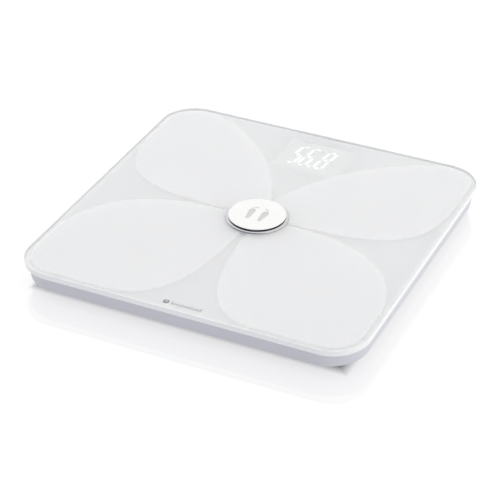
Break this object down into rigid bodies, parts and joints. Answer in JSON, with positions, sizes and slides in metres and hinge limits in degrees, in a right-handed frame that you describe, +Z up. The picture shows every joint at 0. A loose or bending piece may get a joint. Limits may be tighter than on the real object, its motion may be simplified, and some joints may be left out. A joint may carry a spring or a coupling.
{
  "type": "digital bathroom scale",
  "caption": "Square glass-topped digital bathroom scale on a shallow shell, with leaf-shaped electrodes, a round metal hub, a lit display, four weighing feet and a battery door.",
  "frame": {"origin": "on the floor under the centre of the platform, with the part standing on its four feet", "axes": "+Z up; +Y towards the edge with the display; +X to the right when reading it"},
  "size_m": [0.3, 0.3, 0.0283],
  "materials": {
    "glass": "clear toughened glass, polished, pencil edge",
    "film": "white print under the glass",
    "tape": "foam adhesive",
    "electrode": "clear conductive coating",
    "satin_metal": "fine satin",
    "chrome": "polished",
    "white_plastic": "fine satin moulding",
    "inner_plastic": "plain moulding",
    "steel": "zinc plated",
    "spring_metal": "spring strip",
    "rubber": "soft grip",
    "board": "solder mask",
    "chip": "moulded package",
    "diffuser": "opal sheet",
    "battery": "sleeved can",
    "lead": "insulated wire"
  },
  "bodies": {
    "platform": {"glass_plate": "glass", "backing_film": "film", "adhesive_frame": "tape", "electrode_rear_right": "electrode", "electrode_rear_left": "electrode", "electrode_front_right": "electrode", "electrode_front_left": "electrode", "hub_cap": "satin_metal", "hub_bezel": "chrome", "hub_carrier": "inner_plastic", "hub_nut": "inner_plastic", "hub_contact_rear_right": "spring_metal", "hub_contact_rear_left": "spring_metal", "hub_contact_front_right": "spring_metal", "hub_contact_front_left": "spring_metal", "base_shell": "white_plastic", "load_cell_rear_right": "steel", "load_cell_rear_left": "steel", "load_cell_front_right": "steel", "load_cell_front_left": "steel", "strain_gauge_rear_right": "inner_plastic", "strain_gauge_rear_left": "inner_plastic", "strain_gauge_front_right": "inner_plastic", "strain_gauge_front_left": "inner_plastic", "cell_lead_rear_right": "lead", "cell_lead_rear_left": "lead", "cell_lead_front_right": "lead", "cell_lead_front_left": "lead", "hub_lead": "lead", "battery_lead_negative": "lead", "battery_lead_positive": "lead", "main_board": "board", "weighing_chip": "chip", "radio_module": "chip", "unit_switch": "chip", "cell_socket": "inner_plastic", "hub_socket": "inner_plastic", "display_block": "inner_plastic", "display_diffuser": "diffuser", "board_screw_front_left": "steel", "board_screw_front_right": "steel", "board_screw_rear_left": "steel", "board_screw_rear_right": "steel", "battery_left": "battery", "battery_middle": "battery", "battery_right": "battery", "battery_link_front": "spring_metal", "battery_link_rear": "spring_metal", "battery_contact_negative": "spring_metal", "battery_contact_positive": "spring_metal"},
    "foot_rear_right": {"foot_cup_rear_right": "white_plastic", "foot_pad_rear_right": "rubber"},
    "foot_rear_left": {"foot_cup_rear_left": "white_plastic", "foot_pad_rear_left": "rubber"},
    "foot_front_right": {"foot_cup_front_right": "white_plastic", "foot_pad_front_right": "rubber"},
    "foot_front_left": {"foot_cup_front_left": "white_plastic", "foot_pad_front_left": "rubber"},
    "unit_key": {"unit_button": "rubber"},
    "battery_hatch": {"battery_door": "white_plastic"}
  },
  "joints": [
    {"name": "foot_rear_right_drop", "type": "slide", "parent": "platform", "child": "foot_rear_right", "axis": [0, 0, -1], "range_m": [0, 0.0006]},
    {"name": "foot_rear_left_drop", "type": "slide", "parent": "platform", "child": "foot_rear_left", "axis": [0, 0, -1], "range_m": [0, 0.0006]},
    {"name": "foot_front_right_drop", "type": "slide", "parent": "platform", "child": "foot_front_right", "axis": [0, 0, -1], "range_m": [0, 0.0006]},
    {"name": "foot_front_left_drop", "type": "slide", "parent": "platform", "child": "foot_front_left", "axis": [0, 0, -1], "range_m": [0, 0.0006]},
    {"name": "unit_button_press", "type": "slide", "parent": "platform", "child": "unit_key", "axis": [0, 0, 1], "range_m": [0, 0.0006], "stiffness_N_per_m": 3000},
    {"name": "battery_door_hinge", "type": "hinge", "parent": "platform", "child": "battery_hatch", "pos_m": [0, -0.1047, 0.0072], "axis": [-1, 0, 0], "range_deg": [0, 75]}
  ]
}
